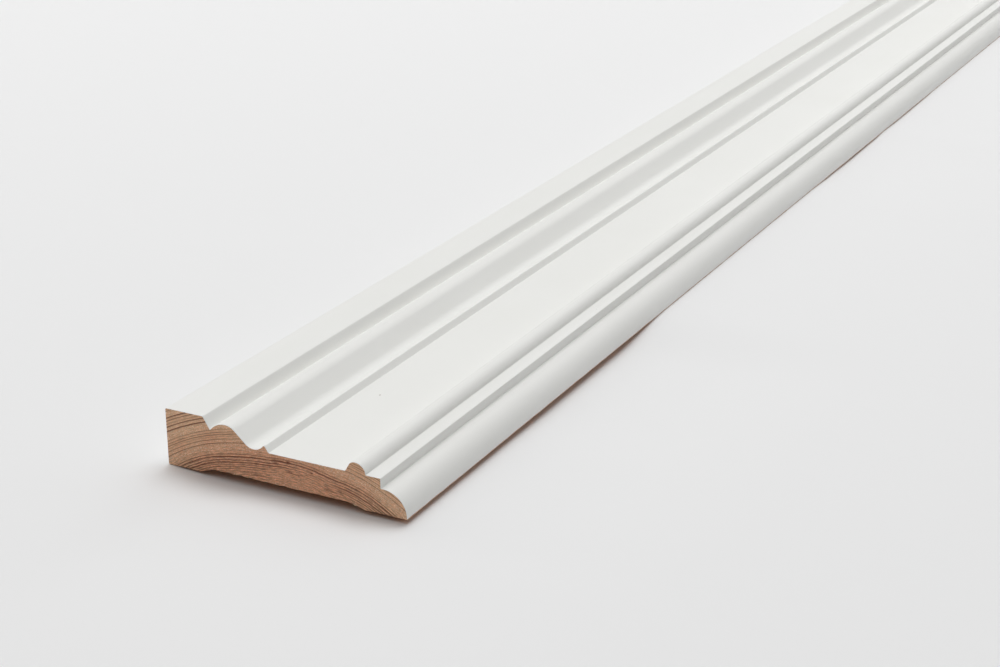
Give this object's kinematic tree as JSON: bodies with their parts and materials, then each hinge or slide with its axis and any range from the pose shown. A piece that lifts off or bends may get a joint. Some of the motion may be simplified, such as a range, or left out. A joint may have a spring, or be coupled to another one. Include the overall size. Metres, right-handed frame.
{
  "type": "casing moulding",
  "caption": "Length of primed pine casing: flat band, quirk, ogee, flat field, bead, fillet and rounded edge on the face, a shallow relief behind, both ends sawn square.",
  "frame": {"origin": "middle of the back, on the plane that its two feet stand on", "axes": "+X across the board from the thick wall edge to the thin jamb edge, +Y along the length, +Z out of the face"},
  "size_m": [0.0888, 1, 0.0199],
  "materials": {
    "white_primer": "pine with a satin off-white primer on its face and edges",
    "bare_pine": "bare pine, sawn at the ends and planed on the back"
  },
  "bodies": {
    "root": {"casing": "white_primer"}
  },
  "joints": []
}
